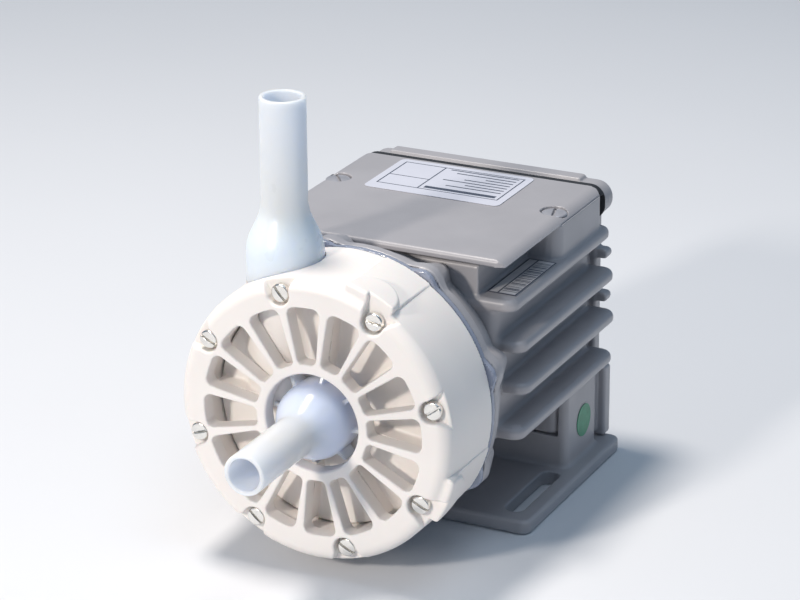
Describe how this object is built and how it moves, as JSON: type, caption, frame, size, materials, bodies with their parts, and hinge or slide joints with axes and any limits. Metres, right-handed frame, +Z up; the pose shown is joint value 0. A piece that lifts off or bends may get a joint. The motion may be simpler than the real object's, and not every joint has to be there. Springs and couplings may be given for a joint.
{
  "type": "magnet-drive centrifugal pump",
  "caption": "Compact magnet-drive centrifugal pump: round spoked pump head with axial inlet and upright outlet pipes on a finned motor with a slotted foot.",
  "frame": {"origin": "middle of the mounting foot's underside, halfway along and across it", "axes": "+Y back along the shaft from the inlet to the motor's rear, +X to the right seen from the inlet, +Z up along the outlet pipe"},
  "size_m": [0.1185, 0.2154, 0.181],
  "materials": {
    "cream_plastic": "moulded off-white glass-filled plastic, satin",
    "natural_plastic": "natural translucent plastic, smooth and slightly bluish",
    "black_rubber": "matt black elastomer",
    "ceramic": "polished alumina ceramic",
    "magnet": "dark sintered magnet",
    "carbon": "machined carbon",
    "grey_paint": "satin mid-grey paint on die-cast aluminium",
    "steel": "turned steel",
    "laminations": "stacked electrical steel",
    "copper_wire": "enamelled copper wire",
    "board": "green circuit board",
    "black_plastic": "moulded black nylon",
    "label": null,
    "sticker": "round green paper sticker",
    "nickel": "bright nickel plate",
    "lid_screw_finish": "painted pan-head screw"
  },
  "bodies": {
    "root": {"front_cover": "cream_plastic", "volute_casing": "cream_plastic", "inlet_socket": "natural_plastic", "inlet_pipe": "natural_plastic", "outlet_socket": "natural_plastic", "outlet_pipe": "natural_plastic", "rear_casing": "natural_plastic", "casing_seal": "black_rubber", "lid_gasket": "black_rubber", "rear_gasket": "black_rubber", "pump_spindle": "ceramic", "front_thrust_washer": "ceramic", "rear_thrust_washer": "ceramic", "motor_flange": "grey_paint", "motor_housing": "grey_paint", "mounting_foot": "grey_paint", "lid": "grey_paint", "rear_cover": "grey_paint", "front_bearing": "steel", "rear_bearing": "steel", "foot_screw_1": "steel", "foot_screw_2": "steel", "foot_screw_3": "steel", "foot_screw_4": "steel", "stator_core": "laminations", "front_winding": "copper_wire", "rear_winding": "copper_wire", "driver_board": "board", "cable_gland": "black_plastic", "rating_label": "label", "fin_label": "label", "round_sticker": "sticker", "cover_screw_1": "nickel", "cover_screw_2": "nickel", "cover_screw_3": "nickel", "cover_screw_4": "nickel", "cover_screw_5": "nickel", "cover_screw_6": "nickel", "cover_screw_7": "nickel", "cover_screw_8": "nickel", "rear_screw_1": "nickel", "rear_screw_2": "nickel", "rear_screw_3": "nickel", "rear_screw_4": "nickel", "lid_screw_left": "lid_screw_finish", "lid_screw_right": "lid_screw_finish"},
    "rotor": {"motor_shaft": "steel", "rotor_core": "laminations", "drive_hub": "steel", "drive_magnets": "magnet"},
    "impeller": {"impeller": "natural_plastic", "impeller_magnet": "magnet", "impeller_bush": "carbon"}
  },
  "joints": [
    {"name": "rotor_spin", "type": "hinge", "parent": "root", "child": "rotor", "pos_m": [0, 0, 0.063], "axis": [0, 1, 0], "continuous": true},
    {"name": "impeller_spin", "type": "hinge", "parent": "root", "child": "impeller", "pos_m": [0, -0.0715, 0.063], "axis": [0, 1, 0], "continuous": true}
  ],
  "couplings": [
    {"joint": "impeller_spin", "follows": "rotor_spin", "ratio": 1}
  ]
}
